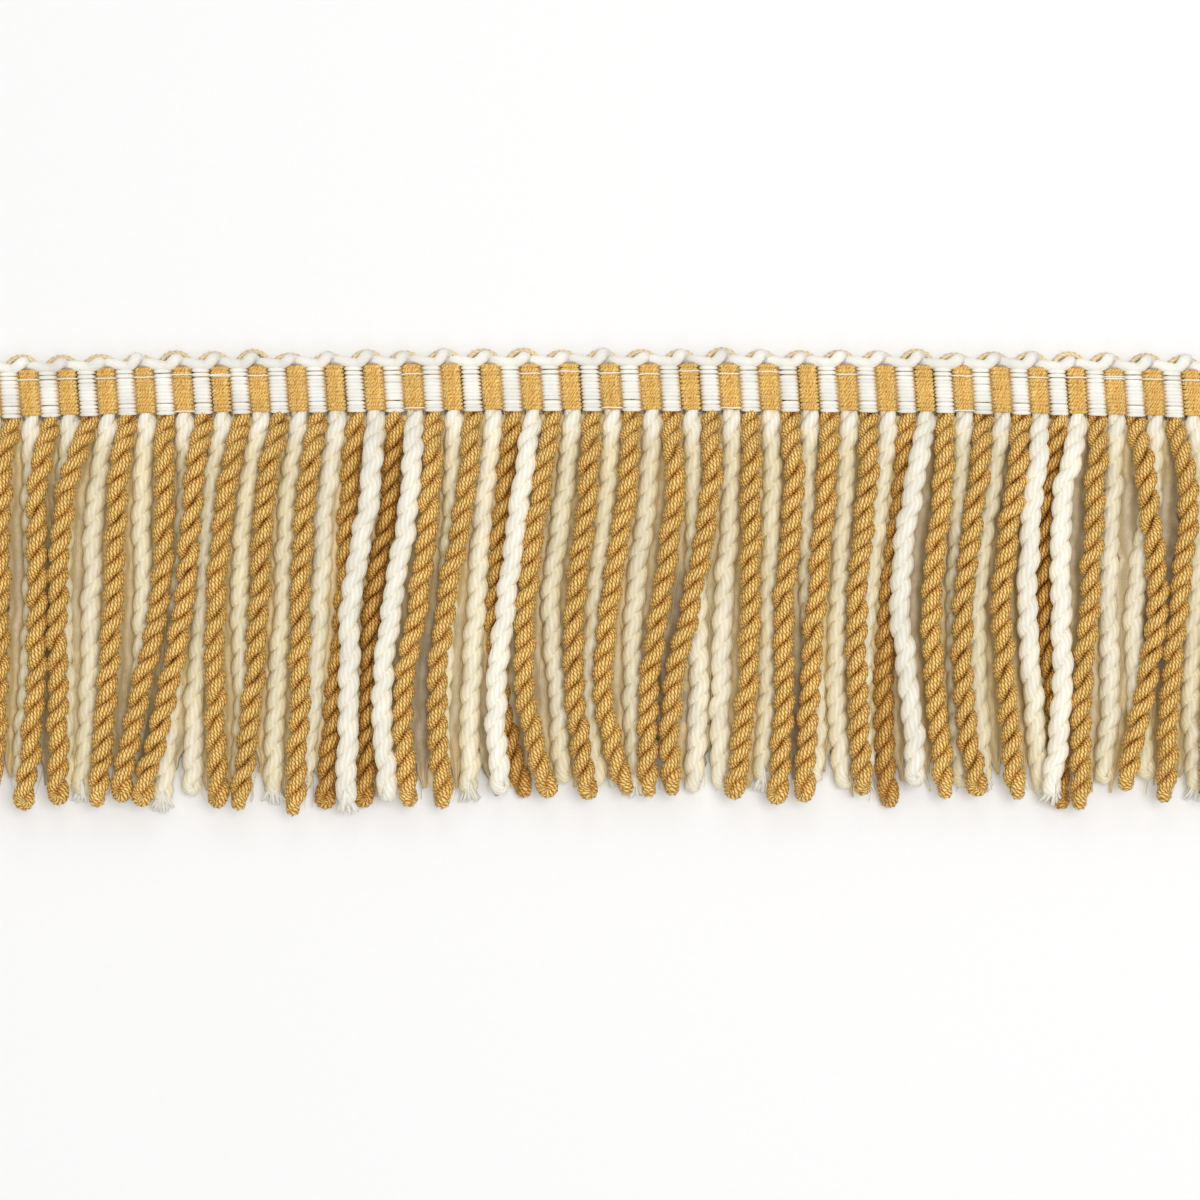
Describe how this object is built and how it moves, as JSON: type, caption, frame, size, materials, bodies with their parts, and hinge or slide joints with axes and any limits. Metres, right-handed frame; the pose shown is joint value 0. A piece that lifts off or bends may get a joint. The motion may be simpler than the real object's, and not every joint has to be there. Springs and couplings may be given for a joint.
{
  "type": "cord fringe trim",
  "caption": "Cut length of cord fringe: a block-woven heading with a looped upper edge and a skirt of twisted gold and cream cords, to edge curtains, cushions and covers.",
  "frame": {"origin": "on the surface it lies on, under the middle of the whole piece", "axes": "+X along the trim to the right as seen from its face, +Y towards its looped upper edge, +Z out of its face"},
  "size_m": [0.2006, 0.0731, 0.0058],
  "materials": {
    "heading_weave": "smooth floats of cream and gold yarn in alternate blocks",
    "cream_yarn": "soft matt spun yarn",
    "gold_yarn": "lustrous twisted viscose yarn"
  },
  "bodies": {
    "root": {"heading_band": "heading_weave", "edging_cream": "cream_yarn", "edging_gold": "gold_yarn", "fringe_comb": "gold_yarn"}
  },
  "joints": []
}
